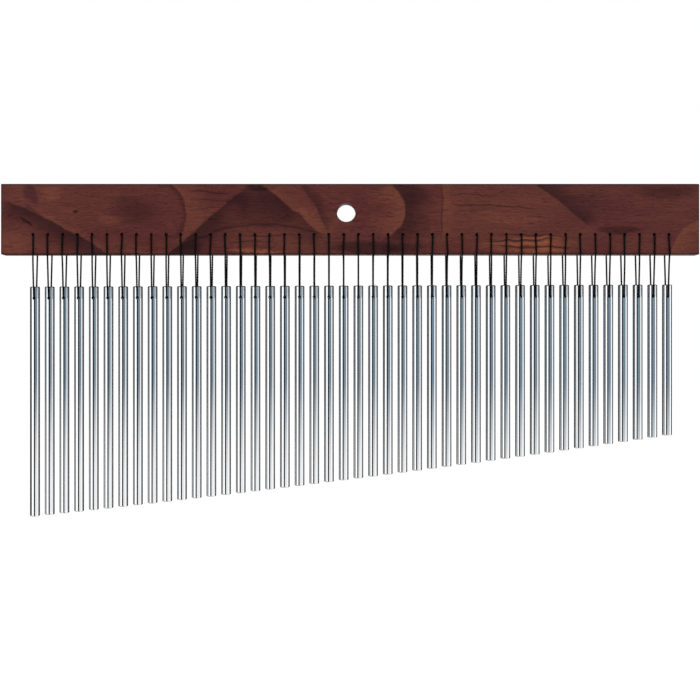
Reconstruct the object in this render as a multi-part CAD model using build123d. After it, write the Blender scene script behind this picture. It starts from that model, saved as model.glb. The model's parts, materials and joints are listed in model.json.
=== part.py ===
"""Bar chimes: a wooden mantle with a row of solid bars, each hung on its own loop of cord.

Millimetres. The origin is the middle of the stand hole. +X runs along the mantle towards the
shortest bar, +Z is up, and the side that the player faces is -Y.
"""

from build123d import *
import math
import os

# Bars: solid round stock, all of one diameter, cut to falling lengths.
bar_count = 44
bar_diameter = 9.525
bar_gap = 4.7625
longest_bar = 223.0
shortest_bar = 146.5
middle_bar_surplus = 3.3
bar_end_round = 0.9
bar_hole_below_top = 11.1

# Mantle: the board that carries the bars.
mantle_thickness = 19.05
mantle_edge_round = 1.0
left_margin = 31.0
right_margin = 29.3
mantle_middle_x = 3.8
stand_hole_below_top = 27.7
cord_holes_below_stand_hole = 21.2
cord_holes_above_bottom = 19.4
stand_hole_diameter = 18.0

# Cord loops: one length of cord to a bar, knotted at the back of the mantle.
cord_diameter = 1.4
cord_gap = 0.3
knot_gap = 0.15
bar_hole_play = 1.2
mantle_hole_play = 1.4
hole_mouth_round = 0.5
first_bar_drop = 30.7
last_bar_drop = 28.7
knot_diameter = 4.2
knot_length = 4.4
knot_below_hole = 6.0

# Sizes that follow from those above.
bar_pitch = bar_diameter + bar_gap
bar_radius = bar_diameter / 2
row_length = (bar_count - 1) * bar_pitch
mantle_length = left_margin + row_length + right_margin
mantle_height = stand_hole_below_top + cord_holes_below_stand_hole + cord_holes_above_bottom
mantle_top = stand_hole_below_top
mantle_bottom = mantle_top - mantle_height
mantle_face = mantle_thickness / 2
first_bar_x = mantle_middle_x - mantle_length / 2 + left_margin
cord_hole_z = -cord_holes_below_stand_hole
cord_radius = cord_diameter / 2
cord_offset = cord_radius + cord_gap
bar_hole_radius = (cord_diameter + bar_hole_play) / 2
mantle_hole_radius = (cord_diameter + mantle_hole_play) / 2


def along_row(index):
    """Share of the row, 0 at the longest bar and 1 at the shortest."""
    return index / (bar_count - 1)


def bar_x(index):
    """Middle of a bar, along the mantle."""
    return first_bar_x + index * bar_pitch


def bar_length(index):
    """Length of a bar: an even fall, with a slight swell in the middle of the row."""
    share = along_row(index)
    even_fall = longest_bar + (shortest_bar - longest_bar) * share
    return even_fall + 4 * middle_bar_surplus * share * (1 - share)


def bar_top(index):
    """Height of a bar's upper end."""
    return mantle_bottom - first_bar_drop - (last_bar_drop - first_bar_drop) * along_row(index)


def bar_hole_z(index):
    """Height of the middle of a bar's cross hole."""
    return bar_top(index) - bar_hole_below_top


def cross_drill(x, z, radius, length):
    """A drill along Y, centred on the mantle's middle plane."""
    return Pos(x, 0, z) * Rot(X=90) * Cylinder(radius, length)


def mouths(solid, radius):
    """The round rims, of the given radius, where holes break the mantle's flat faces."""
    return [
        edge
        for edge in solid.edges().filter_by(GeomType.CIRCLE)
        if math.isclose(edge.radius, radius, rel_tol=1e-6)
    ]


def make_mantle():
    """The board, with its eased edges, the stand hole and one cord hole to a bar."""
    middle_z = (mantle_top + mantle_bottom) / 2
    board = Pos(mantle_middle_x, 0, middle_z) * Box(mantle_length, mantle_thickness, mantle_height)
    board = fillet(board.edges(), mantle_edge_round)
    drill_length = 2 * mantle_thickness
    drills = [cross_drill(0, 0, stand_hole_diameter / 2, drill_length)]
    drills += [
        cross_drill(bar_x(index), cord_hole_z, mantle_hole_radius, drill_length)
        for index in range(bar_count)
    ]
    board -= drills
    rims = mouths(board, mantle_hole_radius) + mouths(board, stand_hole_diameter / 2)
    return fillet(rims, hole_mouth_round)


def make_bar(index):
    """A round bar with eased ends and a cross hole whose mouths are eased for the cord."""
    length = bar_length(index)
    x = bar_x(index)
    bar = Pos(x, 0, bar_top(index) - length / 2) * Cylinder(bar_radius, length)
    bar = fillet(bar.edges().filter_by(GeomType.CIRCLE), bar_end_round)
    outside = bar.edges()
    bar -= cross_drill(x, bar_hole_z(index), bar_hole_radius, 2 * bar_diameter)
    hole_z = bar_hole_z(index)
    rims = [
        edge
        for edge in bar.edges() - outside
        if abs(edge.center().Z - hole_z) < bar_hole_radius
        and edge.bounding_box().size.X > bar_hole_radius
    ]
    return fillet(rims, hole_mouth_round)


def loop_route(index):
    """Corners of a loop's route, from the knot's upper side round to its lower side, with radii."""
    x = bar_x(index)
    leg_y = mantle_face + cord_offset
    upper_z = cord_hole_z - mantle_hole_radius + cord_offset
    lower_y = bar_radius + cord_offset
    lower_z = bar_hole_z(index) + bar_hole_radius - cord_offset
    knot_z = cord_hole_z - knot_below_hole
    mouth_bend = hole_mouth_round + cord_offset
    edge_bend = mantle_edge_round + cord_offset
    corners = [
        Vector(x, leg_y, knot_z + knot_length / 2),
        Vector(x, leg_y, upper_z),
        Vector(x, -leg_y, upper_z),
        Vector(x, -leg_y, mantle_bottom),
        Vector(x, -lower_y, lower_z),
        Vector(x, lower_y, lower_z),
        Vector(x, leg_y, mantle_bottom),
        Vector(x, leg_y, knot_z - knot_length / 2),
    ]
    bends = [mouth_bend, mouth_bend, edge_bend, mouth_bend, mouth_bend, edge_bend]
    return corners, bends


def make_knot(index):
    """The knot where a loop's ends are tied: a short barrel, flat where it lies on the mantle's back."""
    x = bar_x(index)
    z = cord_hole_z - knot_below_hole
    barrel = Pos(x, mantle_face + cord_offset, z) * Cylinder(knot_diameter / 2, knot_length)
    flat_y = mantle_face + knot_gap
    return barrel - Pos(x, flat_y - knot_diameter / 2, z) * Box(2 * knot_diameter, knot_diameter, 2 * knot_length)


def make_loop(index):
    """One unbroken cord with its knot."""
    corners, bends = loop_route(index)
    path = FilletPolyline(*corners, radius=bends)
    section = Plane(origin=path @ 0, z_dir=path % 0) * Circle(cord_radius)
    cord = sweep(section, path=path)
    if index == 0:
        swept = math.pi * cord_radius**2 * path.length
        print("loop length", round(path.length, 2), "bends", [round(bend, 2) for bend in bends])
        print("swept volume", round(cord.volume, 2), "section times length", round(swept, 2))
    return cord + make_knot(index)


def write(name, shape):
    """Write one named node as a STEP file."""
    export_step(shape, os.path.join("parts", name + ".step"))


os.makedirs("parts", exist_ok=True)
write("mantle", make_mantle())
for number in range(bar_count):
    write(f"chime_{number + 1:02d}", make_bar(number))
write("suspension_cords", Compound([make_loop(number) for number in range(bar_count)]))
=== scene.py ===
"""Looks of the bar chimes: walnut mantle, polished bars and braided cord loops.

Everything is in metres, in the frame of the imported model: the origin is the middle of the stand
hole, +X runs towards the shortest bar, +Z is up, and the player's side is -Y.
"""

import json
import logging
import math
from dataclasses import dataclass, field
from enum import Enum

import bmesh
import bpy
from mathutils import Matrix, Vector

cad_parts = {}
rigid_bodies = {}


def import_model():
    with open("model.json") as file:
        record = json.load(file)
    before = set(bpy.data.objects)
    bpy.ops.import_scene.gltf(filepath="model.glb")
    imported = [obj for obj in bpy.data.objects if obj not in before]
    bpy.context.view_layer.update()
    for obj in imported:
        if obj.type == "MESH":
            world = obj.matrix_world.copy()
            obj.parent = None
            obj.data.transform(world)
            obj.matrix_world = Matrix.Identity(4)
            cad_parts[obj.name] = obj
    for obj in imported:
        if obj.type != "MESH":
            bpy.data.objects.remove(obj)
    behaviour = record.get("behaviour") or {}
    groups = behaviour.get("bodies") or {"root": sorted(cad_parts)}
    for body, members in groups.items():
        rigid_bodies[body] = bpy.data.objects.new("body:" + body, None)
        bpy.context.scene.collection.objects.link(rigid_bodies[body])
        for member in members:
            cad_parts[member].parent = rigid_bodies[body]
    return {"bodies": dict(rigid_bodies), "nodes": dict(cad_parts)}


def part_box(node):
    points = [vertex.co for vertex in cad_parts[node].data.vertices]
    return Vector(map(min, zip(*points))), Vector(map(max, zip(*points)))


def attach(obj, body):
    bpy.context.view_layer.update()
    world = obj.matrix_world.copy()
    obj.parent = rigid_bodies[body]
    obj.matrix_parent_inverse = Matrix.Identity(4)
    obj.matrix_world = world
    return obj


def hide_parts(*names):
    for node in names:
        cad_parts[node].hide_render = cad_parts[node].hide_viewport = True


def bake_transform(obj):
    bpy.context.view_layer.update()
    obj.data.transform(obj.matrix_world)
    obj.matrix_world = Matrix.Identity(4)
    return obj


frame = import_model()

LOG = logging.getLogger("bar_chimes")
MM = 0.001
Socket = bpy.types.NodeSocket
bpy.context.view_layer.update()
WHITE = (1.0, 1.0, 1.0, 1.0)

# Turned bars, and the drill that makes their cross holes.
BAR_SIDES = 112
DRILL_SIDES = 48
ROUND_STEPS = 6
MOUTH_FLARE = 1.5
DRILL_OVERRUN = 1.5
WELD = 0.001 * MM

# Least upward share in the normal of a bar's flat end, and how near its radius the round side lies.
FLAT_END = 0.9995
ON_ROUND = 0.02 * MM

# Share of a curved edge's chord that its tone reaches from the middle, and share of that at full tone.
SWEEP_LENGTH = 0.75
SWEEP_FULL_TONE = 0.65

# Share of the braid's relief that lies below the cord's own radius.
BRAID_LEVEL = 0.8


class Slot(Enum):
    """Material slots of the record, for the bars and the cord."""

    BAR = "bar_aluminium"
    CORD = "cord"


class Tone(Enum):
    """Colours of walnut heartwood, in linear light."""

    DEEP = (0.020, 0.0048, 0.0066)
    PLUM = (0.058, 0.013, 0.019)
    RED = (0.088, 0.0185, 0.0175)
    BROWN = (0.120, 0.032, 0.0235)
    TAN = (0.172, 0.050, 0.028)
    AMBER = (0.300, 0.085, 0.036)


@dataclass
class Tree:
    """A node tree under construction, with short calls to add and link nodes.

    Attributes:
        tree: The shader or geometry node tree.
    """

    tree: bpy.types.NodeTree

    def node(self, kind: str, inputs: dict | None = None, **settings: object) -> bpy.types.Node:
        """Add a node.

        Args:
            kind: Type name of the node.
            inputs: Socket name or index, to a constant or to the socket that feeds it.
            **settings: Properties of the node.

        Returns:
            The new node.
        """
        made = self.tree.nodes.new(kind)
        for name, value in settings.items():
            setattr(made, name, value)
        for key, value in (inputs or {}).items():
            if isinstance(value, Socket):
                self.tree.links.new(value, made.inputs[key])
            else:
                made.inputs[key].default_value = value
        return made

    def math(self, operation: str, *values: object) -> Socket:
        """Add a math node and return its result.

        Args:
            operation: Name of the operation.
            *values: Numbers or sockets.

        Returns:
            The result socket.
        """
        return self.node("ShaderNodeMath", dict(enumerate(values)), operation=operation).outputs[0]

    def link(self, source: Socket, target: Socket) -> None:
        """Feed one socket from another.

        Args:
            source: Output that gives the value.
            target: Input that takes it.
        """
        self.tree.links.new(source, target)

    def ramp(
        self, value: Socket, start: object, end: object, low: float = 0.0, high: float = 1.0,
        smooth: bool = False,
    ) -> Socket:
        """Map a value from one range to another, and hold it there.

        Args:
            value: Value to map.
            start: Value that gives low.
            end: Value that gives high.
            low: Result at the start.
            high: Result at the end.
            smooth: Whether the ends are eased.

        Returns:
            The result socket.
        """
        inputs = {"Value": value, "From Min": start, "From Max": end, "To Min": low, "To Max": high}
        style = "SMOOTHSTEP" if smooth else "LINEAR"
        return self.node("ShaderNodeMapRange", inputs, interpolation_type=style).outputs[0]

    def noise(self, place: Socket, scale: float, detail: float, roughness: float = 0.5) -> bpy.types.Node:
        """Add a noise texture.

        Args:
            place: Point to read it at.
            scale: Its scale.
            detail: Its finer layers.
            roughness: Strength of those layers.

        Returns:
            The noise node.
        """
        inputs = {"Vector": place, "Scale": scale, "Detail": detail, "Roughness": roughness}
        return self.node("ShaderNodeTexNoise", inputs)

    def vector(self, operation: str, *values: object) -> Socket:
        """Add a vector math node and return its vector.

        Args:
            operation: Name of the operation.
            *values: Vectors, as numbers or sockets.

        Returns:
            The result socket.
        """
        return self.node("ShaderNodeVectorMath", dict(enumerate(values)), operation=operation).outputs[0]

    def scaled(self, vector: Socket, factor: object) -> Socket:
        """Multiply a vector by a number.

        Args:
            vector: The vector.
            factor: The number, or its socket.

        Returns:
            The result socket.
        """
        inputs = {0: vector, "Scale": factor}
        return self.node("ShaderNodeVectorMath", inputs, operation="SCALE").outputs[0]

    def stretched(self, place: Socket, scale: tuple[float, float, float]) -> Socket:
        """Scale points along each axis.

        Args:
            place: The points.
            scale: Scale along X, Y and Z.

        Returns:
            The scaled points.
        """
        return self.node("ShaderNodeMapping", {"Vector": place, "Scale": scale}).outputs[0]

    def mix(self, mask: Socket, under: object, over: object) -> Socket:
        """Lay a colour over another by a mask.

        Args:
            mask: The mask.
            under: Colour where the mask is 0.
            over: Colour where the mask is 1.

        Returns:
            The mixed colour.
        """
        return self.node("ShaderNodeMix", {"Factor": mask, 6: under, 7: over}, data_type="RGBA").outputs[2]

    def socket(self, name: str, kind: str, is_output: bool = False) -> None:
        """Declare a named input or output of the tree.

        Args:
            name: Name of the socket.
            kind: Socket type, such as Float or Geometry.
            is_output: Whether the socket is an output.
        """
        way = "OUTPUT" if is_output else "INPUT"
        self.tree.interface.new_socket(name=name, in_out=way, socket_type="NodeSocket" + kind)


def set_input(modifier: bpy.types.NodesModifier, name: str, value: object) -> None:
    """Set a named input of a geometry nodes modifier by its socket identifier.

    Args:
        modifier: Modifier to set.
        name: Name of the input.
        value: Its value.
    """
    for item in modifier.node_group.interface.items_tree:
        if item.item_type == "SOCKET" and item.in_out == "INPUT" and item.name == name:
            modifier[item.identifier] = value
            return
    raise KeyError(name)


def settled(obj: bpy.types.Object) -> bpy.types.Mesh:
    """Turn an object with modifiers into a plain mesh.

    Args:
        obj: Object to evaluate.

    Returns:
        The evaluated mesh, free of modifiers.
    """
    depsgraph = bpy.context.evaluated_depsgraph_get()
    return bpy.data.meshes.new_from_object(obj.evaluated_get(depsgraph), depsgraph=depsgraph)


def run_tree(
    name: str, tree: bpy.types.NodeTree, inputs: dict, start: bpy.types.Mesh | None = None
) -> bpy.types.Object:
    """Run a geometry node tree and keep its result as a plain mesh object.

    Args:
        name: Name of the piece.
        tree: Geometry node tree.
        inputs: Values of its named inputs.
        start: Mesh that the tree starts from, if any.

    Returns:
        A linked object at the origin, with no modifier.
    """
    obj = bpy.data.objects.new(name, start or bpy.data.meshes.new(name))
    bpy.context.scene.collection.objects.link(obj)
    modifier = obj.modifiers.new("shape", "NODES")
    modifier.node_group = tree
    for key, value in inputs.items():
        set_input(modifier, key, value)
    bpy.context.view_layer.update()
    mesh = settled(obj)
    obj.modifiers.remove(modifier)
    obj.data = mesh
    mesh.name = name
    return obj


def new_material(name: str) -> tuple[bpy.types.Material, Tree, bpy.types.Node]:
    """Make an empty node material with a Principled shader.

    Args:
        name: Name of the material.

    Returns:
        The material, its tree and its Principled node.
    """
    material = bpy.data.materials.new(name)
    material.use_nodes = True
    tree = Tree(material.node_tree)
    return material, tree, material.node_tree.nodes["Principled BSDF"]


def patch_group() -> bpy.types.NodeTree:
    """Build the group that gives a soft-edged oval mask on the board's face.

    Returns:
        A shader group with Point, Centre, Half Size, Turn and Softness inputs and a Mask output.
    """
    group = bpy.data.node_groups.new("Figure patch", "ShaderNodeTree")
    tree = Tree(group)
    for name in ("Point", "Centre", "Half Size", "Turn"):
        tree.socket(name, "Vector")
    tree.socket("Softness", "Float")
    tree.socket("Mask", "Float", is_output=True)
    given = tree.node("NodeGroupInput").outputs
    offset = tree.vector("SUBTRACT", given["Point"], given["Centre"])
    turned = tree.node(
        "ShaderNodeVectorRotate", {"Vector": offset, "Rotation": given["Turn"]}, rotation_type="EULER_XYZ"
    ).outputs[0]
    sized = tree.vector("DIVIDE", turned, given["Half Size"])
    reach = tree.node("ShaderNodeVectorMath", {0: sized}, operation="LENGTH").outputs["Value"]
    inner = tree.math("SUBTRACT", 1.0, given["Softness"])
    mask = tree.ramp(reach, inner, 1.0, 1.0, 0.0, smooth=True)
    tree.link(mask, tree.node("NodeGroupOutput").inputs["Mask"])
    return group


@dataclass(frozen=True)
class Patch:
    """One area of the board's figure.

    Attributes:
        centre: Middle of the area, x and z in millimetres.
        half: Half its width and height in millimetres.
        turn: Turn from level, in degrees, anticlockwise seen from the front.
        tone: Colour of the area.
        weight: How strongly it covers what lies under it.
        softness: Share of its reach over which the edge fades.
    """

    centre: tuple[float, float]
    half: tuple[float, float]
    turn: float
    tone: Tone
    weight: float
    softness: float = 0.45

    def mask(self, tree: Tree, group: bpy.types.NodeTree, place: Socket) -> Socket:
        """Add the mask of the area.

        Args:
            tree: Tree of the material.
            group: Group that gives such a mask.
            place: Point on the board's face.

        Returns:
            The mask, with the weight in it.
        """
        inputs = {
            "Point": place,
            "Centre": (self.centre[0] * MM, 0, self.centre[1] * MM),
            "Half Size": (self.half[0] * MM, 1.0, self.half[1] * MM),
            "Turn": (0, math.radians(self.turn), 0),
            "Softness": self.softness,
        }
        made = tree.node("ShaderNodeGroup", inputs, node_tree=group)
        return tree.math("MULTIPLY", made.outputs["Mask"], self.weight)


def sweep_group() -> bpy.types.NodeTree:
    """Build the group that gives a mask on one side of a curved line, sharp at it and fading away.

    Returns:
        A shader group with Point, Centre, Middle, Radius, Side, Reach, Length and Edge inputs and a
        Mask output.
    """
    group = bpy.data.node_groups.new("Figure sweep", "ShaderNodeTree")
    tree = Tree(group)
    for name in ("Point", "Centre", "Middle"):
        tree.socket(name, "Vector")
    for name in ("Radius", "Side", "Reach", "Length", "Edge"):
        tree.socket(name, "Float")
    tree.socket("Mask", "Float", is_output=True)
    given = tree.node("NodeGroupInput").outputs
    spans = []
    for name in ("Centre", "Middle"):
        span = tree.node("ShaderNodeVectorMath", {0: given["Point"], 1: given[name]}, operation="DISTANCE")
        spans.append(span.outputs["Value"])
    off = tree.math("MULTIPLY", tree.math("SUBTRACT", spans[0], given["Radius"]), given["Side"])
    before = tree.math("MULTIPLY", given["Edge"], -1.0)
    near = tree.ramp(off, before, given["Edge"], smooth=True)
    fade = tree.ramp(off, 0.0, given["Reach"], 1.0, 0.0, smooth=True)
    full_tone = tree.math("MULTIPLY", given["Length"], SWEEP_FULL_TONE)
    along = tree.ramp(spans[1], full_tone, given["Length"], 1.0, 0.0, smooth=True)
    mask = tree.math("MULTIPLY", tree.math("MULTIPLY", near, fade), along)
    tree.link(mask, tree.node("NodeGroupOutput").inputs["Mask"])
    return group


@dataclass(frozen=True)
class Sweep:
    """One curved edge of the board's figure, toned on one side.

    Attributes:
        start: Start of the edge, x and z in millimetres.
        middle: A point of the edge about half way.
        end: End of the edge.
        left: Whether the toned side is on the left going from start to end.
        reach: How far the tone fades out from the edge, in millimetres.
        tone: Colour of the toned side.
        weight: How strongly it covers what lies under it.
        edge: Half the width of the edge itself, in millimetres.
    """

    start: tuple[float, float]
    middle: tuple[float, float]
    end: tuple[float, float]
    left: bool
    reach: float
    tone: Tone
    weight: float
    edge: float = 1.2

    def mask(self, tree: Tree, group: bpy.types.NodeTree, place: Socket) -> Socket:
        """Add the mask of the toned side.

        Args:
            tree: Tree of the material.
            group: Group that gives such a mask.
            place: Point on the board's face.

        Returns:
            The mask, with the weight in it.
        """
        start, middle, end = (Vector(point) for point in (self.start, self.middle, self.end))
        half, chord = middle - start, end - start
        bow = 2 * (half.x * chord.y - half.y * chord.x)
        across = chord.y * half.dot(half) - half.y * chord.dot(chord)
        upward = half.x * chord.dot(chord) - chord.x * half.dot(half)
        centre = start + Vector((across, upward)) / bow
        inputs = {
            "Point": place,
            "Centre": (centre.x * MM, 0, centre.y * MM),
            "Middle": (middle.x * MM, 0, middle.y * MM),
            "Radius": (middle - centre).length * MM,
            "Side": -1.0 if self.left == (bow > 0) else 1.0,
            "Reach": self.reach * MM,
            "Length": SWEEP_LENGTH * chord.length * MM,
            "Edge": self.edge * MM,
        }
        made = tree.node("ShaderNodeGroup", inputs, node_tree=group)
        return tree.math("MULTIPLY", made.outputs["Mask"], self.weight)


@dataclass(frozen=True)
class WalnutFinish:
    """Satin oiled walnut, with the figure of this board.

    Attributes:
        figure: Areas and edges of the figure, from the lowest layer to the highest.
        warp: How far the edges of the areas wander, in metres.
        warp_scale: Scale of that wandering.
        painted_shade_band: Width of the darker band of painted shade along the board's edges, in metres.
        painted_shade_core: Share of that band that is fully dark.
        painted_shade_level: Brightness that the painted shade leaves there.
        drift_scale: Scale of the broad drifts of colour along, through and up the board.
        fibre_scale: Scale of the fibre.
        pore_scale: Scale of the open pores.
        roughness: Least and greatest roughness.
        specular: Strength of the satin shine.
        relief: Depth of fibre and pores, in metres.
    """

    figure: tuple[Patch | Sweep, ...]
    warp: float = 4 * MM
    warp_scale: float = 45.0
    # Painted shade along the board's edges, underside and ends.
    painted_shade_band: float = 1.5 * MM
    painted_shade_core: float = 0.4
    painted_shade_level: float = 0.2
    drift_scale: tuple[float, float, float] = (9.0, 1.0, 34.0)
    fibre_scale: tuple[float, float, float] = (30.0, 900.0, 900.0)
    pore_scale: tuple[float, float, float] = (110.0, 1500.0, 1500.0)
    roughness: tuple[float, float] = (0.4, 0.55)
    specular: float = 0.14
    relief: float = 0.2 * MM

    def material(self, low: Vector, high: Vector) -> bpy.types.Material:
        """Build the walnut material on Object coordinates.

        Args:
            low: Lowest corner of the board.
            high: Highest corner of the board.

        Returns:
            The material.
        """
        material, tree, shader = new_material("satin_walnut")
        place = tree.node("ShaderNodeTexCoord").outputs["Object"]
        warped = self._warped(tree, place)
        flat = tree.vector("MULTIPLY", warped, (1.0, 0.0, 1.0))
        colour = self._ground(tree, flat)
        groups = {Patch: patch_group(), Sweep: sweep_group()}
        for part in self.figure:
            amount = part.mask(tree, groups[type(part)], flat)
            colour = tree.mix(amount, colour, (*part.tone.value, 1.0))
        fibre, pores = self._fibre(tree, warped)
        # The grain's brightness is multiplied by painted shade along the board's edges.
        shade = tree.math("MULTIPLY", self._streaks(tree, fibre, pores), self._painted_edge_shade(tree, place, low, high))
        tree.link(tree.scaled(colour, shade), shader.inputs["Base Color"])
        tree.link(tree.ramp(fibre, 0.3, 0.7, *self.roughness), shader.inputs["Roughness"])
        height = tree.math("SUBTRACT", tree.math("MULTIPLY", fibre, 0.3), tree.math("MULTIPLY", pores, 0.7))
        bump = tree.node("ShaderNodeBump", {"Height": height, "Strength": 0.25, "Distance": self.relief})
        tree.link(bump.outputs[0], shader.inputs["Normal"])
        shader.inputs["Specular IOR Level"].default_value = self.specular
        return material

    def _warped(self, tree: Tree, place: Socket) -> Socket:
        """Push points about a little, so that no edge of the figure is quite even.

        Args:
            tree: The material's tree.
            place: Object coordinates.

        Returns:
            The pushed points.
        """
        wander = tree.noise(place, self.warp_scale, 3.0, 0.55).outputs["Color"]
        centred = tree.vector("SUBTRACT", wander, (0.5, 0.5, 0.5))
        return tree.vector("ADD", place, tree.scaled(centred, 2 * self.warp))

    def _painted_edge_shade(self, tree: Tree, place: Socket, low: Vector, high: Vector) -> Socket:
        """Painted shade: brightness that falls in a narrow band along the board's edges.

        Every point of the surface lies on one side of the board, so the second smallest of its depths below
        the sides is its distance from the nearest edge.

        Args:
            tree: The material's tree.
            place: Object coordinates.
            low: Lowest corner of the board.
            high: Highest corner of the board.

        Returns:
            The brightness, 1 away from the edges.
        """
        spot = tree.node("ShaderNodeSeparateXYZ", {0: place}).outputs
        depths = []
        for axis in range(3):
            middle = (low[axis] + high[axis]) / 2
            half = (high[axis] - low[axis]) / 2
            off = tree.math("ABSOLUTE", tree.math("SUBTRACT", spot[axis], middle))
            depths.append(tree.math("SUBTRACT", half, off))
        nearer = tree.math("MINIMUM", depths[0], depths[1])
        farther = tree.math("MAXIMUM", depths[0], depths[1])
        from_edge = tree.math("MAXIMUM", nearer, tree.math("MINIMUM", farther, depths[2]))
        # Painted shade: darker in a narrow band along every edge of the board.
        return tree.ramp(from_edge, self.painted_shade_core * self.painted_shade_band, self.painted_shade_band, self.painted_shade_level, 1.0)

    def _ground(self, tree: Tree, place: Socket) -> Socket:
        """Lay the ground colour: broad drifts of red and brown along the board.

        Args:
            tree: The material's tree.
            place: Point on the board's face.

        Returns:
            The colour.
        """
        drift = tree.noise(tree.stretched(place, self.drift_scale), 1.0, 3.0)
        ramp = tree.node("ShaderNodeValToRGB", {"Fac": drift.outputs["Fac"]})
        ramp.color_ramp.elements[0].position = 0.3
        ramp.color_ramp.elements[0].color = (*Tone.RED.value, 1.0)
        ramp.color_ramp.elements[1].position = 0.7
        ramp.color_ramp.elements[1].color = (*Tone.BROWN.value, 1.0)
        return ramp.outputs["Color"]

    def _fibre(self, tree: Tree, place: Socket) -> tuple[Socket, Socket]:
        """Make the fine lengthwise fibre and the short open pores.

        Args:
            tree: The material's tree.
            place: Point of the board.

        Returns:
            The fibre, about 0.5, and the pores, 1 where the wood is open.
        """
        fibre = tree.noise(tree.stretched(place, self.fibre_scale), 1.0, 4.0, 0.6)
        specks = tree.noise(tree.stretched(place, self.pore_scale), 1.0, 1.0, 0.4)
        return fibre.outputs["Fac"], tree.ramp(specks.outputs["Fac"], 0.62, 0.72)

    def _streaks(self, tree: Tree, fibre: Socket, pores: Socket) -> Socket:
        """Brightness of the wood with its fibre, and darker in the pores.

        Args:
            tree: The material's tree.
            fibre: The fibre.
            pores: The pores.

        Returns:
            The brightness.
        """
        level = tree.ramp(fibre, 0.25, 0.75, 0.66, 1.34)
        holes = tree.math("SUBTRACT", 1.0, tree.math("MULTIPLY", pores, 0.5))
        return tree.math("MULTIPLY", level, holes)


@dataclass(frozen=True)
class PolishedFinish:
    """Mirror-polished aluminium with the faint lines of its polishing.

    Attributes:
        colour: Colour of the metal.
        roughness: Its usual roughness.
        ring_scale: Scale of the polishing lines, which run round the bar.
        haze_scale: Scale of the fainter patches between them.
    """

    colour: tuple[float, float, float] = (0.93, 0.935, 0.94)
    roughness: float = 0.05
    ring_scale: tuple[float, float, float] = (60.0, 60.0, 2600.0)
    haze_scale: float = 45.0

    def material(self) -> bpy.types.Material:
        """Build the bar material.

        Returns:
            The material.
        """
        material, tree, shader = new_material("polished_aluminium")
        shader.inputs["Base Color"].default_value = (*self.colour, 1.0)
        shader.inputs["Metallic"].default_value = 1.0
        place = tree.node("ShaderNodeTexCoord").outputs["Object"]
        lines = tree.noise(tree.stretched(place, self.ring_scale), 1.0, 2.0)
        haze = tree.noise(place, self.haze_scale, 3.0)
        mixed = tree.math("ADD", tree.math("MULTIPLY", lines.outputs["Fac"], 0.5), haze.outputs["Fac"])
        rough = tree.ramp(mixed, 0.5, 1.1, self.roughness * 0.6, self.roughness * 1.8)
        tree.link(rough, shader.inputs["Roughness"])
        return material


@dataclass(frozen=True)
class BraidFinish:
    """Matt black braided nylon, read from the cord's own attributes.

    Attributes:
        dark: Colour between the strands, as painted shade in the braid's hollows.
        light: Colour on top of them, as painted light on the raised strands.
        roughness: Least and greatest roughness.
        specular: Strength of the shine.
        fuzz_scale: Scale of the yarn's fuzz.
        fuzz_depth: Depth of that fuzz, in metres.
    """

    dark: tuple[float, float, float] = (0.0015, 0.0015, 0.0018)
    light: tuple[float, float, float] = (0.008, 0.008, 0.009)
    roughness: tuple[float, float] = (0.6, 0.85)
    specular: float = 0.1
    fuzz_scale: float = 5200.0
    fuzz_depth: float = 0.05 * MM

    def material(self) -> bpy.types.Material:
        """Build the cord material.

        Returns:
            The material.
        """
        material, tree, shader = new_material("braided_nylon")
        relief = tree.node("ShaderNodeAttribute", attribute_name="braid").outputs["Fac"]
        place = tree.node("ShaderNodeTexCoord").outputs["Object"]
        fuzz = tree.noise(place, self.fuzz_scale, 2.0).outputs["Fac"]
        # Painted shade and light: darker where the braid's relief is low between the strands, lighter on
        # their tops.
        level = tree.math("MULTIPLY", relief, tree.math("ADD", fuzz, 0.4))
        colour = tree.mix(level, (*self.dark, 1.0), (*self.light, 1.0))
        tree.link(colour, shader.inputs["Base Color"])
        tree.link(tree.ramp(fuzz, 0.0, 1.0, *self.roughness), shader.inputs["Roughness"])
        bump = tree.node("ShaderNodeBump", {"Height": fuzz, "Strength": 0.3, "Distance": self.fuzz_depth})
        tree.link(bump.outputs[0], shader.inputs["Normal"])
        shader.inputs["Specular IOR Level"].default_value = self.specular
        return material


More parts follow.
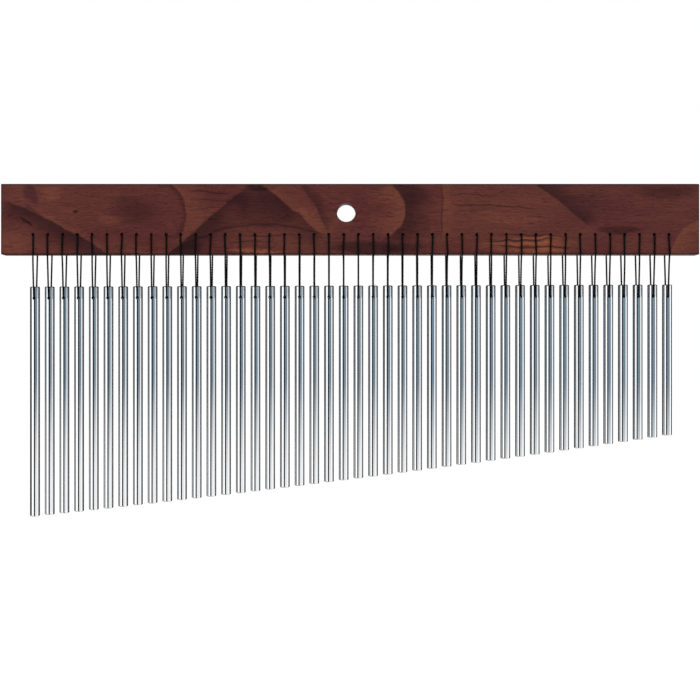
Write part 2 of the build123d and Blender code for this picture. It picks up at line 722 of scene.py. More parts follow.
def lathe_group() -> bpy.types.NodeTree:
    """Build the group that turns a profile round the Z axis.

    Returns:
        A geometry group with Profile and Segments inputs, whose profile has its radius on X and
        its height on Z, and a Mesh output.
    """
    group = bpy.data.node_groups.new("Turned on a lathe", "GeometryNodeTree")
    tree = Tree(group)
    tree.socket("Profile", "Geometry")
    tree.socket("Segments", "Int")
    tree.socket("Mesh", "Geometry", is_output=True)
    given = tree.node("NodeGroupInput").outputs
    points = tree.node("GeometryNodeCurveToPoints", {0: given["Profile"]}, mode="EVALUATED").outputs[0]
    sizes = tree.node("GeometryNodeAttributeDomainSize", {0: points}, component="POINTCLOUD")
    count = sizes.outputs["Point Count"]
    around = tree.math("ADD", given["Segments"], 1.0)
    grid = tree.node("GeometryNodeMeshGrid", {0: 1.0, 1: 1.0, 2: around, 3: count}).outputs[0]
    place = tree.node("ShaderNodeSeparateXYZ", {0: tree.node("GeometryNodeInputPosition").outputs[0]})
    angle = tree.math("MULTIPLY", tree.math("ADD", place.outputs[0], 0.5), 2 * math.pi)
    row = tree.math("MULTIPLY", tree.math("ADD", place.outputs[1], 0.5), tree.math("SUBTRACT", count, 1.0))
    sample = tree.node(
        "GeometryNodeSampleIndex",
        {0: points, "Index": tree.math("ROUND", row)},
        data_type="FLOAT_VECTOR",
        domain="POINT",
    )
    tree.link(tree.node("GeometryNodeInputPosition").outputs[0], sample.inputs["Value"])
    spot = tree.node("ShaderNodeSeparateXYZ", {0: sample.outputs[0]})
    x = tree.math("MULTIPLY", spot.outputs[0], tree.math("COSINE", angle))
    y = tree.math("MULTIPLY", spot.outputs[0], tree.math("SINE", angle))
    target = tree.node("ShaderNodeCombineXYZ", {0: x, 1: y, 2: spot.outputs[2]}).outputs[0]
    moved = tree.node("GeometryNodeSetPosition", {0: grid, "Position": target}).outputs[0]
    closed = tree.node("GeometryNodeMergeByDistance", {0: moved, "Distance": WELD}).outputs[0]
    tree.link(closed, tree.node("NodeGroupOutput").inputs["Mesh"])
    return group


def bar_tree(lathe: bpy.types.NodeTree) -> bpy.types.NodeTree:
    """Build the tree of one bar: round stock with eased ends and an eased cross hole.

    Args:
        lathe: Group that turns a profile.

    Returns:
        A geometry tree with named inputs for the bar's sizes, place and material.
    """
    group = bpy.data.node_groups.new("Chime bar", "GeometryNodeTree")
    tree = Tree(group)
    for name in ("Radius", "Length", "End Round", "Hole Radius", "Mouth Round", "Hole Drop"):
        tree.socket(name, "Float")
    tree.socket("Top", "Vector")
    tree.socket("Material", "Material")
    tree.socket("Geometry", "Geometry", is_output=True)
    given = tree.node("NodeGroupInput").outputs
    base = tree.math("MULTIPLY", given["Length"], -1.0)
    outline = [(0.0, base), (given["Radius"], base), (given["Radius"], 0.0), (0.0, 0.0)]
    stock = turned_profile(tree, lathe, outline, BAR_SIDES, given["End Round"])
    flare = tree.math("MULTIPLY", given["Mouth Round"], MOUTH_FLARE)
    wide = tree.math("ADD", given["Hole Radius"], flare)
    mouth = tree.math("SUBTRACT", given["Radius"], given["Mouth Round"])
    rim = tree.math("ADD", mouth, flare)
    end = tree.math("MULTIPLY", rim, DRILL_OVERRUN)
    rising = [(given["Hole Radius"], mouth), (wide, rim), (wide, end), (0.0, end)]
    falling = [(radius, tree.math("MULTIPLY", height, -1.0)) for radius, height in reversed(rising)]
    drill = turned_profile(tree, lathe, falling + rising, DRILL_SIDES, None)
    below = tree.math("MULTIPLY", given["Hole Drop"], -1.0)
    middle = tree.node("ShaderNodeCombineXYZ", {2: below}).outputs[0]
    across = tree.node(
        "GeometryNodeTransform", {0: drill, "Translation": middle, "Rotation": (math.pi / 2, 0, 0)}
    ).outputs[0]
    drilled = tree.node(
        "GeometryNodeMeshBoolean", {0: stock, 1: across}, operation="DIFFERENCE", solver="EXACT"
    ).outputs[0]
    hung = tree.node("GeometryNodeTransform", {0: drilled, "Translation": given["Top"]}).outputs[0]
    finish_tree(tree, hung, given["Material"])
    return group


def turned_profile(
    tree: Tree, lathe: bpy.types.NodeTree, points: list[tuple], segments: int, bend: Socket | None
) -> Socket:
    """Turn a profile of straight runs, with its corners rounded where a radius is given.

    Args:
        tree: Geometry tree that receives the nodes.
        lathe: Group that turns a profile.
        points: Radius and height of each point, as numbers or sockets, from bottom to top.
        segments: Sides of the turned shape.
        bend: Radius of the corners, if they are round.

    Returns:
        The turned mesh.
    """
    switch = tree.node("GeometryNodeIndexSwitch", data_type="VECTOR")
    while len(switch.index_switch_items) < len(points):
        switch.index_switch_items.new()
    tree.link(tree.node("GeometryNodeInputIndex").outputs[0], switch.inputs["Index"])
    for number, (radius, height) in enumerate(points):
        spot = tree.node("ShaderNodeCombineXYZ", {0: radius, 2: height}).outputs[0]
        tree.link(spot, switch.inputs[number + 1])
    line = tree.node("GeometryNodeMeshLine", {"Count": len(points)}).outputs[0]
    placed = tree.node("GeometryNodeSetPosition", {0: line, "Position": switch.outputs[0]}).outputs[0]
    curve = tree.node("GeometryNodeMeshToCurve", {0: placed}).outputs[0]
    if bend is not None:
        corners = {0: curve, "Count": ROUND_STEPS, "Radius": bend}
        curve = tree.node("GeometryNodeFilletCurve", corners, mode="POLY").outputs[0]
    turned = tree.node("GeometryNodeGroup", {"Profile": curve, "Segments": segments}, node_tree=lathe)
    return turned.outputs["Mesh"]


def finish_tree(tree: Tree, geometry: Socket, material: Socket) -> None:
    """End a geometry tree: smooth faces, real meshes and the material.

    Args:
        tree: Geometry tree.
        geometry: Geometry to finish.
        material: Material input of the tree.
    """
    smooth = tree.node("GeometryNodeSetShadeSmooth", {0: geometry}).outputs[0]
    real = tree.node("GeometryNodeRealizeInstances", {0: smooth}).outputs[0]
    dressed = tree.node("GeometryNodeSetMaterial", {0: real, "Material": material}).outputs[0]
    tree.link(dressed, tree.node("NodeGroupOutput").inputs[0])


def stored(tree: Tree, geometry: Socket, name: str, value: Socket) -> Socket:
    """Store a value on the points of a geometry.

    Args:
        tree: Geometry tree.
        geometry: Geometry that keeps the value.
        name: Name of the attribute.
        value: Value of it.

    Returns:
        The geometry with the attribute.
    """
    inputs = {0: geometry, "Name": name, "Value": value}
    return tree.node("GeometryNodeStoreNamedAttribute", inputs).outputs[0]


def cord_tree() -> bpy.types.NodeTree:
    """Build the tree that lays a braided cord along a line of points.

    Returns:
        A geometry tree with inputs for the cord's radius, step, sides, strands, pitch and relief.
    """
    group = bpy.data.node_groups.new("Braided cord", "GeometryNodeTree")
    tree = Tree(group)
    tree.socket("Line", "Geometry")
    for name in ("Radius", "Step", "Strands", "Pitch", "Relief"):
        tree.socket(name, "Float")
    tree.socket("Sides", "Int")
    tree.socket("Material", "Material")
    tree.socket("Geometry", "Geometry", is_output=True)
    given = tree.node("NodeGroupInput").outputs
    curve = tree.node("GeometryNodeMeshToCurve", {0: given["Line"]}).outputs[0]
    spacing = {0: curve, "Length": given["Step"]}
    even = tree.node("GeometryNodeResampleCurve", spacing, mode="LENGTH").outputs[0]
    spline = tree.node("GeometryNodeSplineParameter").outputs
    path = stored(tree, even, "along", spline["Length"])
    sizes = {"Resolution": given["Sides"], "Radius": given["Radius"]}
    circle = tree.node("GeometryNodeCurvePrimitiveCircle", sizes).outputs[0]
    ring = stored(tree, circle, "around", spline["Factor"])
    tube = tree.node("GeometryNodeCurveToMesh", {0: path, 1: ring, "Fill Caps": True}).outputs[0]
    along = tree.node("GeometryNodeInputNamedAttribute", {"Name": "along"}).outputs[0]
    around = tree.node("GeometryNodeInputNamedAttribute", {"Name": "around"}).outputs[0]
    lead = tree.math("DIVIDE", along, given["Pitch"])
    side = tree.math("MULTIPLY", around, given["Strands"])
    waves = []
    for lay in ("ADD", "SUBTRACT"):
        phase = tree.math("MULTIPLY", tree.math(lay, side, lead), math.pi)
        waves.append(tree.math("ABSOLUTE", tree.math("SINE", phase)))
    braid = tree.math("MULTIPLY", *waves)
    tube = stored(tree, tube, "braid", braid)
    rise = tree.math("MULTIPLY", tree.math("SUBTRACT", braid, BRAID_LEVEL), given["Relief"])
    offset = tree.scaled(tree.node("GeometryNodeInputNormal").outputs[0], rise)
    raised = tree.node("GeometryNodeSetPosition", {0: tube, "Offset": offset}).outputs[0]
    finish_tree(tree, raised, given["Material"])
    return group


@dataclass
class Mantle:
    """The walnut board that carries the bars.

    Attributes:
        finish: Its wood.
        node: Name of its solid.
        low: Lowest corner of its solid.
        high: Highest corner of its solid.
    """

    finish: WalnutFinish
    node: str = "mantle"
    low: Vector = field(init=False)
    high: Vector = field(init=False)

    def __post_init__(self) -> None:
        """Read the board's place and size from its solid."""
        self.low, self.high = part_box(self.node)

    def dress(self) -> bpy.types.Object:
        """Give the solid its wood.

        Returns:
            The solid's object.
        """
        board = frame["nodes"][self.node]
        board.data.materials.clear()
        board.data.materials.append(self.finish.material(self.low, self.high))
        return board


@dataclass
class Chime:
    """One polished bar.

    Attributes:
        number: Place in the row, from 1 at the longest bar.
        end_round: Radius of the eased ends.
        hole_radius: Radius of the cross hole.
        mouth_round: How far the mouths of the hole are eased.
        hole_drop: Middle of the hole below the bar's top.
        body: Name of its solid, which is also the name of its moving body.
        low: Lowest corner of its solid.
        high: Highest corner of its solid.
    """

    number: int
    end_round: float = 0.9 * MM
    hole_radius: float = 1.0 * MM
    mouth_round: float = 0.8 * MM
    hole_drop: float = 11.1 * MM
    body: str = field(init=False)
    low: Vector = field(init=False)
    high: Vector = field(init=False)

    def __post_init__(self) -> None:
        """Read the bar's place and size from its solid."""
        self.body = f"chime_{self.number:02d}"
        self.low, self.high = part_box(self.body)

    @property
    def middle_x(self) -> float:
        """Middle of the bar along the row."""
        return (self.low.x + self.high.x) / 2

    @property
    def radius(self) -> float:
        """Radius of the bar."""
        return (self.high.x - self.low.x) / 2

    @property
    def hole_z(self) -> float:
        """Height of the middle of the cross hole."""
        return self.high.z - self.hole_drop

    def build(self, tree: bpy.types.NodeTree, material: bpy.types.Material) -> bpy.types.Object:
        """Turn and drill the bar, and let it stand for its solid.

        Args:
            tree: Tree of a bar.
            material: Its finish.

        Returns:
            The finished piece.
        """
        sizes = {
            "Radius": self.radius, "Length": self.high.z - self.low.z, "End Round": self.end_round,
            "Hole Radius": self.hole_radius, "Mouth Round": self.mouth_round, "Hole Drop": self.hole_drop,
            "Top": (self.middle_x, 0.0, self.high.z), "Material": material,
        }
        piece = run_tree(f"polished_bar_{self.number:02d}", tree, sizes)
        self._true_normals(piece.data)
        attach(piece, self.body)
        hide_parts(self.body)
        return piece

    def _true_normals(self, mesh: bpy.types.Mesh) -> None:
        """Give the faces of the bar the normals of its true round shape.

        Args:
            mesh: Mesh of the bar.
        """
        axis = Vector((self.middle_x, 0, 0))
        eye = Vector((self.middle_x, 0, self.hole_z))
        core = self.radius - self.end_round
        levels = (self.high.z - self.end_round, self.low.z + self.end_round)
        normals = [Vector((0, 0, 1))] * len(mesh.loops)
        for face in mesh.polygons:
            points = [mesh.vertices[number].co for number in face.vertices]
            spokes = [(point - axis) * Vector((1, 1, 0)) for point in points]
            if abs(face.normal.z) > FLAT_END:
                found = [face.normal] * len(points)
            elif all(abs(spoke.length - self.radius) < ON_ROUND for spoke in spokes):
                found = [spoke.normalized() for spoke in spokes]
            elif abs(face.center.z - self.hole_z) < 2 * self.hole_radius:
                inward = math.sqrt(1 - face.normal.y**2)
                found = [
                    ((eye - point) * Vector((1, 0, 1))).normalized() * inward + Vector((0, face.normal.y, 0))
                    for point in points
                ]
            else:
                level = min(levels, key=lambda height: abs(height - face.center.z))
                found = [
                    spoke.normalized() * (spoke.length - core) + Vector((0, 0, point.z - level))
                    for spoke, point in zip(spokes, points)
                ]
            for loop, normal in zip(face.loop_indices, found):
                normals[loop] = normal.normalized()
        mesh.normals_split_custom_set(normals)


@dataclass
class CordLoop:
    """The cord that carries one bar, from its knot round through mantle and bar.

    Attributes:
        chime: Bar that hangs in the loop.
        mantle: Board that the loop hangs on.
        radius: Radius of the cord.
        gap: Room between the cord and what it lies on.
        hole_rise: Height of the mantle's cord hole above its lower edge.
        hole_radius: Radius of the mantle's cord hole.
        knot_drop: Middle of the knot below the cord hole.
        knot_reach: Reach of the knot's turns from its middle.
        straight: Length of cord that stays straight beside a bend.
        bend_zone: Height below the mantle over which a leg takes up the bar's swing. Not used.
        stray: How far the front leg may lie beside the middle of its hole.
        step: Length of cord from one ring of points to the next.
        sides: Points round the cord.
        strands: Strands of the braid that run each way.
        pitch: Length of cord over which a strand moves on by its own width.
        relief: Height of the braid.
        knot_steps: Points of the knot's turns.
    """

    chime: Chime
    mantle: Mantle
    radius: float = 0.85 * MM
    gap: float = 0.15 * MM
    hole_rise: float = 19.4 * MM
    hole_radius: float = 1.4 * MM
    knot_drop: float = 6.0 * MM
    knot_reach: float = 1.25 * MM
    straight: float = 3.0 * MM
    bend_zone: float = 10.0 * MM
    stray: float = 0.45 * MM
    step: float = 0.42 * MM
    sides: int = 14
    strands: float = 4.0
    pitch: float = 2.4 * MM
    relief: float = 0.16 * MM
    knot_steps: int = 24

    def route(self) -> list[tuple[float, float, float]]:
        """Lay out the loop, from the knot's upper side to its lower side.

        Returns:
            Its control points.
        """
        off = self.radius + self.gap
        leg = self.mantle.high.y + off
        low = self.mantle.low.z
        hole = low + self.hole_rise
        top = hole - self.hole_radius + off
        knot = hole - self.knot_drop
        near = self.chime.radius + off
        eye = self.chime.hole_z + self.chime.hole_radius - off
        run = self.straight
        lean = (leg - near) / (low - eye)
        x = self.chime.middle_x
        mouth = x + self.stray * math.sin(2.1 * self.chime.number)
        edge = x + self.stray * math.sin(1.3 * self.chime.number + 1.0)
        return [
            (x, leg, knot + 0.5 * self.knot_reach),
            (x, leg, top - run), (x, leg, top), (x, leg - run, top),
            (mouth, -leg + run, top), (mouth, -leg, top), (mouth, -leg, top - run),
            (edge, -leg, low + run), (edge, -leg, low), (x, -leg + lean * run, low - run),
            (x, -near - lean * run, eye + run), (x, -near, eye), (x, -near + run, eye),
            (x, near - run, eye), (x, near, eye), (x, near + lean * run, eye + run),
            (x, leg - lean * run, low - run), (x, leg, low), (x, leg, low + run),
            (x, leg, knot - 0.5 * self.knot_reach),
        ]

    def _line(
        self, name: str, points: list[tuple[float, float, float]], cyclic: bool = False
    ) -> bpy.types.Mesh:
        """Draw a smooth line through control points and return its points as a mesh.

        Args:
            name: Name of the line.
            points: Control points.
            cyclic: Whether the line closes on itself.

        Returns:
            A mesh of edges along the line.
        """
        curve = bpy.data.curves.new(name, "CURVE")
        curve.dimensions = "3D"
        curve.resolution_u = 8
        spline = curve.splines.new("NURBS")
        spline.points.add(len(points) - 1)
        for spot, point in zip(spline.points, points):
            spot.co = (*point, 1.0)
        spline.use_cyclic_u = cyclic
        spline.use_endpoint_u = not cyclic
        spline.order_u = 3
        obj = bpy.data.objects.new(name, curve)
        bpy.context.scene.collection.objects.link(obj)
        bpy.context.view_layer.update()
        mesh = settled(obj)
        bpy.data.objects.remove(obj)
        bpy.data.curves.remove(curve)
        return mesh

    def _knot_lines(self) -> list[bpy.types.Mesh]:
        """Draw the knot: its crossing turns and the two cut tails.

        Returns:
            A line for the turns and one for each tail.
        """
        x = self.chime.middle_x
        middle_z = self.mantle.low.z + self.hole_rise - self.knot_drop
        middle_y = self.mantle.high.y + self.gap + 2 * self.radius
        turns = []
        for number in range(self.knot_steps):
            angle = 2 * math.pi * number / self.knot_steps
            side = (math.sin(angle) + 2 * math.sin(2 * angle)) / 3 * self.knot_reach
            rise = (math.cos(angle) - 2 * math.cos(2 * angle)) / 3 * self.knot_reach
            turns.append((x + side, middle_y - math.sin(3 * angle) * self.radius, middle_z + rise))
        lines = [self._line("knot", turns, cyclic=True)]
        hole = middle_z + self.knot_drop
        flat_y = self.mantle.high.y + self.gap + self.radius
        tucked = [
            (x + self.radius, middle_y, middle_z), (x + 1.8 * MM, flat_y, middle_z + 1.5 * MM),
            (x + 1.8 * MM, flat_y, hole - 0.2 * MM), (x + 1.3 * MM, flat_y, hole + 1.1 * MM),
            (x - 2.2 * MM, flat_y, hole + 1.0 * MM),
        ]
        hanging = [
            (x - self.radius, middle_y, middle_z), (x - 1.9 * MM, flat_y, middle_z - 0.6 * MM),
            (x - 2.3 * MM, flat_y, middle_z - 3.0 * MM), (x - 2.4 * MM, flat_y, middle_z - 4.6 * MM),
        ]
        lines += [self._line("tail", tail) for tail in (tucked, hanging)]
        return lines

    def build(self, tree: bpy.types.NodeTree, material: bpy.types.Material) -> bpy.types.Object:
        """Lay the cord and tie its knot.

        Args:
            tree: Tree of a braided cord.
            material: Its finish.

        Returns:
            The finished piece.
        """
        name = f"cord_loop_{self.chime.number:02d}"
        lines = [self._line("loop", self.route())] + self._knot_lines()
        sizes = {
            "Radius": self.radius, "Step": self.step, "Sides": self.sides, "Strands": self.strands,
            "Pitch": self.pitch, "Relief": self.relief, "Material": material,
        }
        strands = [run_tree(name, tree, sizes, line) for line in lines]
        joined = bmesh.new()
        for strand in strands:
            joined.from_mesh(strand.data)
        piece = strands[0]
        joined.to_mesh(piece.data)
        joined.free()
        for spare in strands[1:]:
            bpy.data.objects.remove(spare)
        piece.name = name
        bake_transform(piece)
        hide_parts("suspension_cords")
        return piece


@dataclass
class Studio:
    """White surroundings, soft lamps and the camera.

    Attributes:
        distance: Camera to the bars' plane.
        width: Width of the picture in the bars' plane.
        aim: Point of the bars' plane in the middle of the picture, x and z.
        floor_z: Height of the floor.
        ambient: Strength of the surroundings on matt things.
        side_screens: Dark screens, from and to, in degrees from the player's side.
        skylight: Middle and half height of the window in the dark ceiling, as sines of its elevation.
        echo_loss: Share of the white that is lost where one bar shows in the next.
        steep_from: Sines of the elevations between which a direction turns from level to steep.
        skylight_sides: Both sides of the skylight, in degrees from the player's side.
        skylight_fade: Width of the fade at the skylight's sides, in degrees.
        screen_fade: Width of the fade at a dark screen's edges, in degrees.
        panels: Dark panels round the steep directions.
        panel_shade: How dark those panels are.
        screen_colour: Colour of all that is dark.
        glare: Strength of the white in reflections.
        floor_glow: Strength of the floor's own white, which only the camera sees.
        floor_share: Share of that white in what the camera sees of the floor.
        card_back: How far the cards stand behind the camera.
        card_heights: Foot and head of the cards, from the aim.
        card_fade: Heights between which a card pales, the upper one first.
        sensor_width: Width of the camera's sensor, in millimetres.
    """

    distance: float = 1.4
    width: float = 0.6806
    aim: tuple[float, float] = (3.67 * MM, -132.8 * MM)
    floor_z: float = -0.62
    ambient: float = 0.7
    side_screens: tuple[tuple[float, float], ...] = ((93, 172), (-172, -69))
    skylight: tuple[float, float] = (0.86, 0.05)
    echo_loss: float = 0.6
    steep_from: tuple[float, float] = (0.15, 0.22)
    skylight_sides: tuple[float, float] = (-35, 35)
    skylight_fade: float = 20
    screen_fade: float = 4
    panels: float = 4.0
    panel_shade: float = 0.9
    screen_colour: tuple[float, float, float] = (0.008, 0.008, 0.01)
    glare: float = 1.12
    floor_glow: float = 1.12
    floor_share: float = 0.85
    card_back: float = 0.05
    card_heights: tuple[float, float] = (-1.4, 0.5)
    card_fade: tuple[float, float] = (-0.2, -0.4)
    sensor_width: float = 36.0

    def build(self) -> None:
        """Set up world, floor, cards, lamps and camera."""
        scene = bpy.context.scene
        scene.view_settings.view_transform = "Standard"
        self._world(scene)
        self._floor()
        self._card("dark_card", left=-0.74, right=0.06, tint=(0.003, 0.004, 0.006), fade=0.0)
        self._card("blue_card", left=0.06, right=2.5, tint=(0.18, 0.25, 0.31), fade=0.85)
        self._lamp("key", place=(-0.9, -1.3, 0.9), size=1.2, power=9.0)
        self._lamp("fill", place=(1.1, -1.2, 0.5), size=1.2, power=5.0)
        lens = bpy.data.cameras.new("camera")
        lens.sensor_width = self.sensor_width
        lens.lens = self.sensor_width * self.distance / self.width
        camera = bpy.data.objects.new("camera", lens)
        camera.location = (self.aim[0], -self.distance, self.aim[1])
        camera.rotation_euler = (math.pi / 2, 0, 0)
        scene.collection.objects.link(camera)
        scene.camera = camera

    def _lamp(self, name: str, place: tuple[float, float, float], size: float, power: float) -> None:
        """Add a soft square lamp that points at the bars and stays out of reflections.

        Args:
            name: Name of the lamp.
            place: Where it stands.
            size: Length of its side.
            power: Its power in watts.
        """
        light = bpy.data.lights.new(name, "AREA")
        light.size = size
        light.energy = power
        lamp = bpy.data.objects.new(name, light)
        lamp.location = place
        target = Vector((self.aim[0], 0, self.aim[1]))
        lamp.rotation_euler = (target - Vector(place)).to_track_quat("-Z", "Y").to_euler()
        lamp.visible_glossy = False
        bpy.context.scene.collection.objects.link(lamp)

    def _floor(self) -> None:
        """Lay a pale floor that keeps a faint shadow of the object."""
        mesh = bpy.data.meshes.new("floor")
        reach = 12.0
        corners = [(-reach, -reach), (reach, -reach), (reach, reach), (-reach, reach)]
        mesh.from_pydata([(x, y, self.floor_z) for x, y in corners], [], [(0, 1, 2, 3)])
        floor = bpy.data.objects.new("floor", mesh)
        bpy.context.scene.collection.objects.link(floor)
        material, tree, shader = new_material("pale_floor")
        shader.inputs["Base Color"].default_value = (0.9, 0.9, 0.9, 1.0)
        shader.inputs["Roughness"].default_value = 0.9
        glow = tree.node("ShaderNodeEmission", {"Color": WHITE, "Strength": self.floor_glow}).outputs[0]
        seen = tree.node("ShaderNodeLightPath").outputs["Is Camera Ray"]
        share = tree.math("MULTIPLY", seen, self.floor_share)
        mixed = tree.node("ShaderNodeMixShader", {0: share, 1: shader.outputs[0], 2: glow}).outputs[0]
        tree.link(mixed, tree.tree.nodes["Material Output"].inputs["Surface"])
        mesh.materials.append(material)
        floor.visible_glossy = False

    def _card(
        self, name: str, left: float, right: float, tint: tuple[float, float, float], fade: float
    ) -> None:
        """Stand a glowing card just behind the camera, which only reflections show.

        Args:
            name: Name of the card.
            left: Its left edge from the camera, along the row.
            right: Its right edge from the camera.
            tint: Colour that the metal shows near the top of the bars.
            fade: How far the card pales towards its lower end.
        """
        y = -self.distance - self.card_back
        foot, head = self.card_heights
        corners = [(left, foot), (right, foot), (right, head), (left, head)]
        mesh = bpy.data.meshes.new(name)
        mesh.from_pydata([(self.aim[0] + x, y, self.aim[1] + z) for x, z in corners], [], [(3, 2, 1, 0)])
        card = bpy.data.objects.new(name, mesh)
        bpy.context.scene.collection.objects.link(card)
        material, tree, _ = new_material(name)
        place = tree.node("ShaderNodeTexCoord").outputs["Object"]
        height = tree.node("ShaderNodeSeparateXYZ", {0: place}).outputs[2]
        low = tree.ramp(height, *self.card_fade, 0.0, fade)
        colour = tree.mix(low, (*tint, 1.0), WHITE)
        glow = tree.node("ShaderNodeEmission", {"Color": colour}).outputs[0]
        tree.link(glow, tree.tree.nodes["Material Output"].inputs["Surface"])
        mesh.materials.append(material)
        card.visible_camera = False
        card.visible_diffuse = False
        card.visible_transmission = False
        card.visible_shadow = False

    def _world(self, scene: bpy.types.Scene) -> None:
        """Make the surroundings: white, with dark panels and screens that only reflections show.

        Args:
            scene: Scene that gets them.
        """
        world = bpy.data.worlds.new("studio")
        scene.world = world
        world.use_nodes = True
        tree = Tree(world.node_tree)
        dark = self._dark(tree)
        path = tree.node("ShaderNodeLightPath").outputs
        shown = tree.math("MULTIPLY", dark, path["Is Glossy Ray"])
        colour = tree.mix(shown, WHITE, (*self.screen_colour, 1.0))
        clear = tree.math("MAXIMUM", path["Is Camera Ray"], path["Is Transmission Ray"])
        lit = tree.ramp(path["Is Glossy Ray"], 0.0, 1.0, self.ambient, self.glare)
        echo = tree.math("GREATER_THAN", path["Glossy Depth"], 1.5)
        kept = tree.math("SUBTRACT", 1.0, tree.math("MULTIPLY", echo, self.echo_loss))
        strength = tree.math("MAXIMUM", tree.math("MULTIPLY", lit, kept), clear)
        back = tree.tree.nodes["Background"]
        tree.link(colour, back.inputs["Color"])
        tree.link(strength, back.inputs["Strength"])

    def _dark(self, tree: Tree) -> Socket:
        """Mark where the surroundings are dark: the ceiling, the steep panels and the side screens.

        Args:
            tree: The world's tree.

        Returns:
            A mask, 1 where they are dark.
        """
        sight = tree.node("ShaderNodeTexCoord").outputs["Generated"]
        way = tree.node("ShaderNodeSeparateXYZ", {0: sight}).outputs
        azimuth = tree.math("ARCTAN2", way[0], tree.math("MULTIPLY", way[1], -1.0))
        steep = tree.ramp(tree.math("ABSOLUTE", way[2]), *self.steep_from)
        upper = tree.math("MULTIPLY", tree.math("GREATER_THAN", way[2], 0.0), steep)
        skylight = tree.math("COMPARE", way[2], *self.skylight)
        sides = self._screen(tree, azimuth, *self.skylight_sides, self.skylight_fade)
        window = tree.math("MULTIPLY", skylight, sides)
        ceiling = tree.math("MULTIPLY", upper, tree.math("SUBTRACT", 1.0, window))
        turns = tree.math("SINE", tree.math("MULTIPLY", azimuth, self.panels))
        shade = tree.math("MULTIPLY", steep, self.panel_shade)
        panels = tree.math("MULTIPLY", tree.ramp(turns, -0.3, 0.3), shade)
        dark = tree.math("MAXIMUM", ceiling, panels)
        upright = tree.math("SUBTRACT", 1.0, steep)
        for start, end in self.side_screens:
            screen = self._screen(tree, azimuth, start, end, self.screen_fade)
            dark = tree.math("MAXIMUM", dark, tree.math("MULTIPLY", screen, upright))
        return dark

    def _screen(self, tree: Tree, azimuth: Socket, start: float, end: float, soft: float) -> Socket:
        """Mark an upright screen between two directions.

        Args:
            tree: The world's tree.
            azimuth: Direction looked at.
            start: Direction of its first edge, in degrees from the player's side.
            end: Direction of its second edge.
            soft: Width of the fade at an edge, in degrees.

        Returns:
            A mask, 1 on the screen.
        """
        masks = []
        for at, fade in ((start, soft), (end, -soft)):
            near, far = math.radians(at - fade / 2), math.radians(at + fade / 2)
            masks.append(tree.ramp(azimuth, near, far, smooth=True))
        return tree.math("MULTIPLY", *masks)


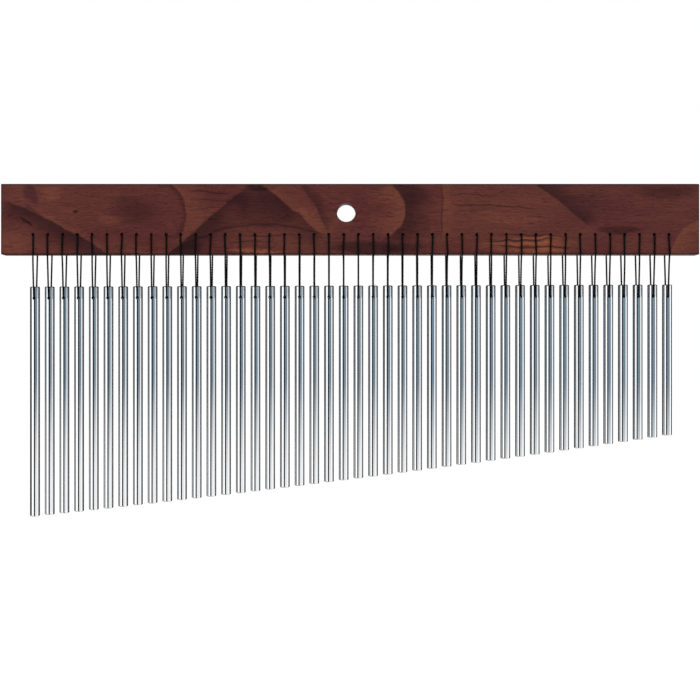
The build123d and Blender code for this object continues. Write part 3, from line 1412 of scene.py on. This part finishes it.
FIGURE: tuple[Patch | Sweep, ...] = (
    Patch((-322, -32), (30, 16), 0, Tone.TAN, 0.6, 0.8),
    Patch((-305, 15), (9, 18), 14, Tone.PLUM, 0.75),
    Patch((-285, 18), (14, 13), 0, Tone.TAN, 0.5, 0.8),
    Patch((-204, 3), (32, 22), 0, Tone.DEEP, 0.5, 0.9),
    Patch((-231, -7), (18, 7), 0, Tone.TAN, 0.4, 0.8),
    Sweep((-313, 5), (-276, -13), (-231, -40), False, 26, Tone.DEEP, 0.75),
    Sweep((-309, 8), (-276, -13), (-240, -33), True, 8, Tone.TAN, 0.4),
    Patch((-248, -34), (16, 7), -20, Tone.PLUM, 0.5, 0.7),
    Patch((-310, -10), (10, 2), -33, Tone.DEEP, 0.8),
    Patch((-260, 1), (4.5, 2.5), 0, Tone.DEEP, 1.0, 0.9),
    Sweep((-168, 28), (-155, 7), (-165, -27), False, 7, Tone.DEEP, 0.5),
    Sweep((-168, 28), (-155, 7), (-165, -27), True, 30, Tone.TAN, 0.45),
    Patch((-133, 20), (26, 1.2), -4, Tone.DEEP, 0.5),
    Patch((-128, 12), (24, 0.9), -3, Tone.DEEP, 0.45),
    Patch((-136, 4), (18, 0.8), 4, Tone.DEEP, 0.4),
    Patch((-77, 4), (40, 24), 0, Tone.DEEP, 0.35),
    Patch((-82, 25), (20, 6), 0, Tone.DEEP, 0.75),
    Sweep((-107, 16), (-139, -11), (-172, -40), True, 32, Tone.DEEP, 0.75),
    Patch((-151, -34), (16, 11), 0, Tone.DEEP, 0.6, 0.7),
    Patch((-112, 0), (16, 10), 30, Tone.RED, 0.45, 0.8),
    Sweep((-76, 21), (-52, 3), (-28, -18), False, 34, Tone.DEEP, 0.5),
    Sweep((-76, 21), (-52, 3), (-28, -18), True, 20, Tone.TAN, 0.6),
    Sweep((-40, 22), (-31, 7), (-21, -12), True, 14, Tone.DEEP, 0.5),
    Patch((-77, -31), (46, 11), 0, Tone.BROWN, 0.75),
    Sweep((-131, -19), (-93, -11), (-11, -25), False, 4, Tone.DEEP, 0.65),
    Patch((-80, -23), (34, 0.9), 2, Tone.DEEP, 0.5),
    Patch((-92, -29), (30, 0.9), 1, Tone.DEEP, 0.5),
    Patch((-89, -37), (32, 2.2), 0, Tone.AMBER, 0.5),
    Patch((13, 1), (13, 26), 0, Tone.RED, 0.6),
    Patch((20, -34), (42, 9), 0, Tone.DEEP, 0.6),
    Sweep((40, 27), (57.5, 1), (43, -21), True, 34, Tone.DEEP, 0.65),
    Sweep((40, 27), (57.5, 1), (43, -21), False, 28, Tone.TAN, 0.65),
    Patch((68, 17), (20, 14), 0, Tone.DEEP, 0.4, 0.8),
    Patch((56, -34), (30, 9), 0, Tone.DEEP, 0.55, 0.7),
    Patch((141, 2), (58, 34), 0, Tone.BROWN, 0.75),
    Sweep((92, 27), (93.5, 5), (92, -20), True, 16, Tone.TAN, 0.5),
    Sweep((91, 27), (92.5, 5), (91, -20), True, 2.5, Tone.DEEP, 0.5, 0.8),
    Patch((154, -6), (42, 9), 0, Tone.TAN, 0.45, 0.8),
    Patch((133, 6.5), (38, 1), -2, Tone.DEEP, 0.5),
    Patch((124, 17), (30, 0.9), 2, Tone.DEEP, 0.45),
    Patch((167, 5), (24, 0.9), -5, Tone.DEEP, 0.45),
    Sweep((191, 23), (205, 12), (239, -18), True, 26, Tone.DEEP, 0.7),
    Patch((238, 10), (30, 20), 0, Tone.PLUM, 0.5, 0.8),
    Patch((264, 7), (22, 18), 0, Tone.RED, 0.55, 0.8),
    Patch((310, 20), (42, 11), 0, Tone.DEEP, 0.5, 0.8),
    Patch((264, -17), (25, 5), 0, Tone.DEEP, 0.55),
    Patch((282, -30), (40, 10), 0, Tone.BROWN, 0.65),
    Sweep((314, -38), (322, -21), (340, -8), False, 24, Tone.TAN, 0.65),
    Patch((176, -31), (64, 11), 0, Tone.TAN, 0.65),
    Patch((192, -31), (18, 7), 0, Tone.AMBER, 0.45, 0.9),
    Patch((180, -24.5), (24, 1.3), 3, Tone.AMBER, 0.5),
    Patch((168, -29.8), (46, 1.4), 1, Tone.AMBER, 0.5),
    Patch((187, -36), (32, 1.8), -1, Tone.AMBER, 0.5),
    Patch((176, -22), (40, 1), -2, Tone.DEEP, 0.6),
    Patch((168, -27), (44, 1), 2, Tone.DEEP, 0.7),
    Patch((183, -33), (50, 1.1), -1, Tone.DEEP, 0.7),
)


def main() -> None:
    """Build the pieces in order and report each one."""
    logging.basicConfig(level=logging.INFO)
    mantle = Mantle(WalnutFinish(FIGURE))
    board = mantle.dress()
    LOG.info("dressed %s", board.name)
    bars = bar_tree(lathe_group())
    cords = cord_tree()
    polish = PolishedFinish().material()
    braid = BraidFinish().material()
    count = sum(1 for name in frame["bodies"] if name.startswith("chime_"))
    for number in range(1, count + 1):
        chime = Chime(number)
        bar = chime.build(bars, polish)
        loop = CordLoop(chime, mantle).build(cords, braid)
        LOG.info("built %s and %s", bar.name, loop.name)
    Studio().build()


if __name__ == "__main__":
    main()
